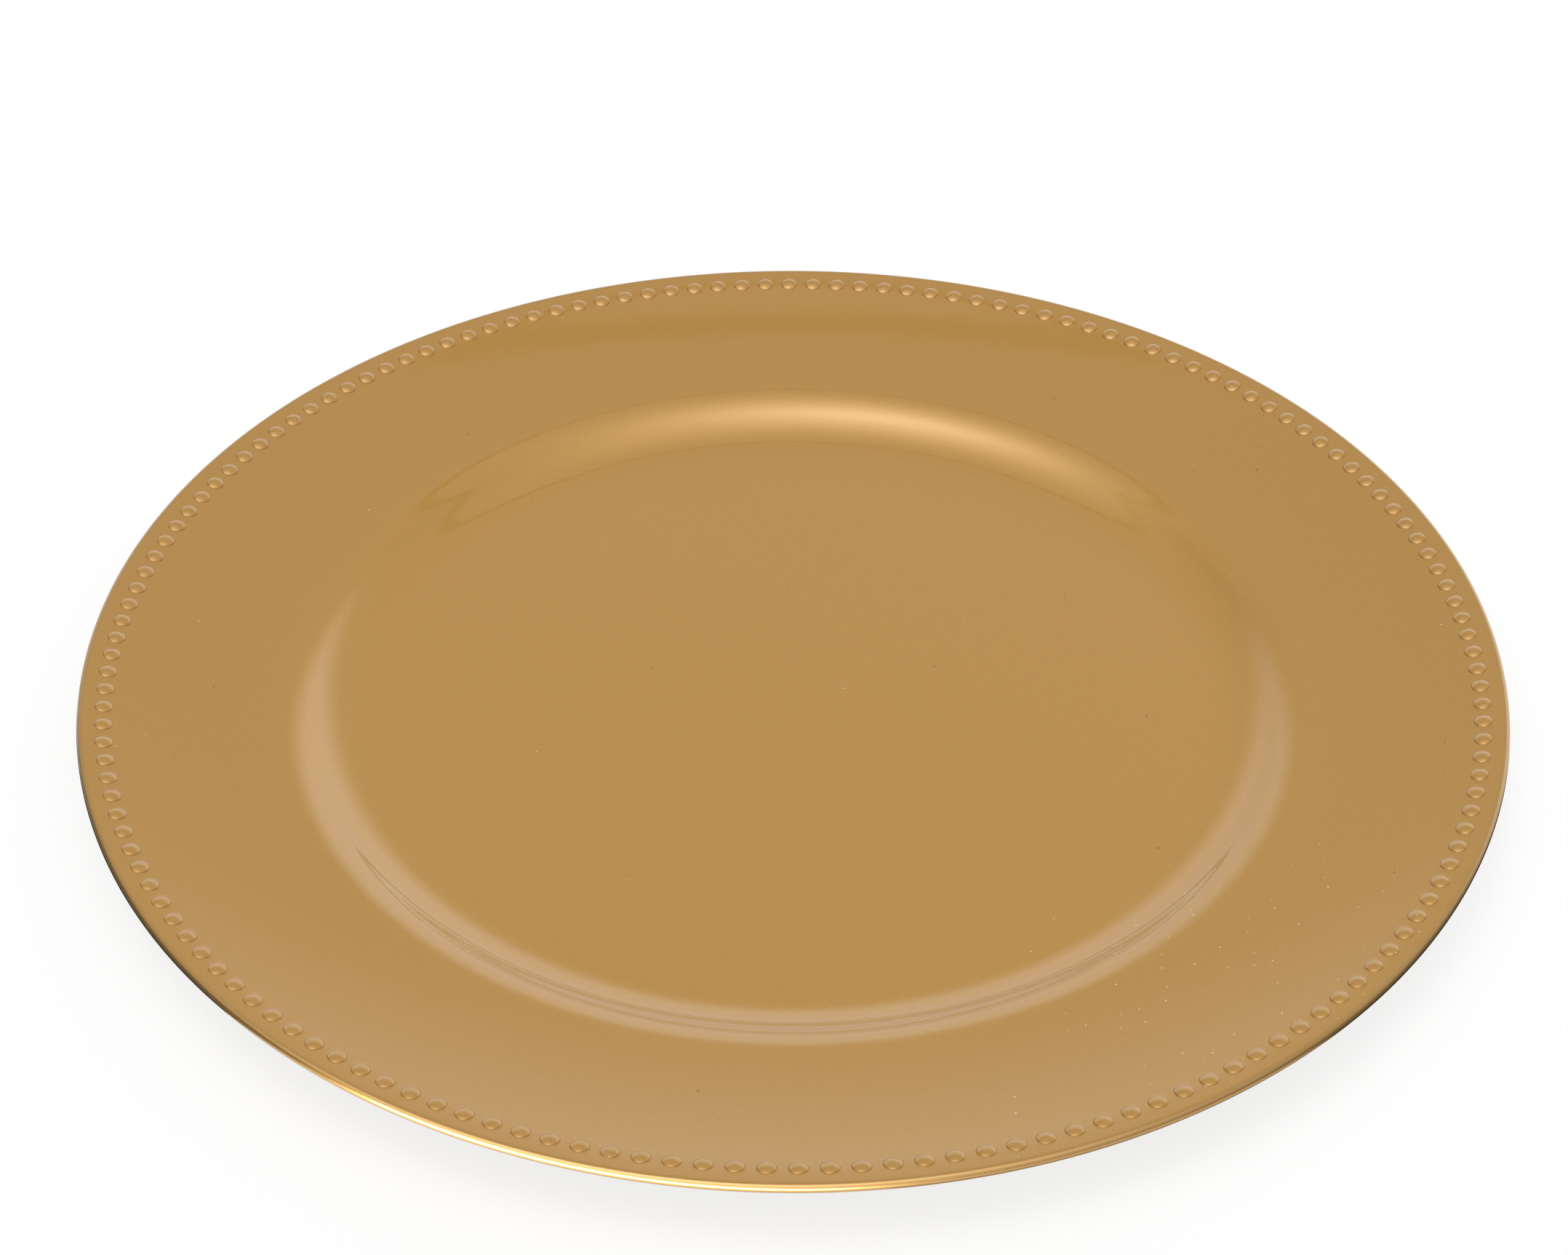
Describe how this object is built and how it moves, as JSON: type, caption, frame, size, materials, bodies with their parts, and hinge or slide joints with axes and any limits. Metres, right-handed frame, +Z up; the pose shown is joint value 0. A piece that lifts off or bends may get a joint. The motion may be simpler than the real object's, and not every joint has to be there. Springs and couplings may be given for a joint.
{
  "type": "charger plate",
  "caption": "Round gold charger plate with a flat well, a curved well wall, a broad flaring rim and a ring of domed beads inside its rounded lip.",
  "frame": {"origin": "on the plate's axis, at the underside of the foot ring", "axes": "+Z up along the plate's axis; -Y towards the viewer in the picture"},
  "size_m": [0.33, 0.3299, 0.0168],
  "materials": {
    "plastic_body": "plain moulded plastic in a dull gold tint, satin",
    "gold_lacquer": "sprayed metallic gold with fine flake under a clear gloss"
  },
  "bodies": {
    "root": {"plate_moulding": "plastic_body", "gold_lacquer_face": "gold_lacquer"}
  },
  "joints": []
}
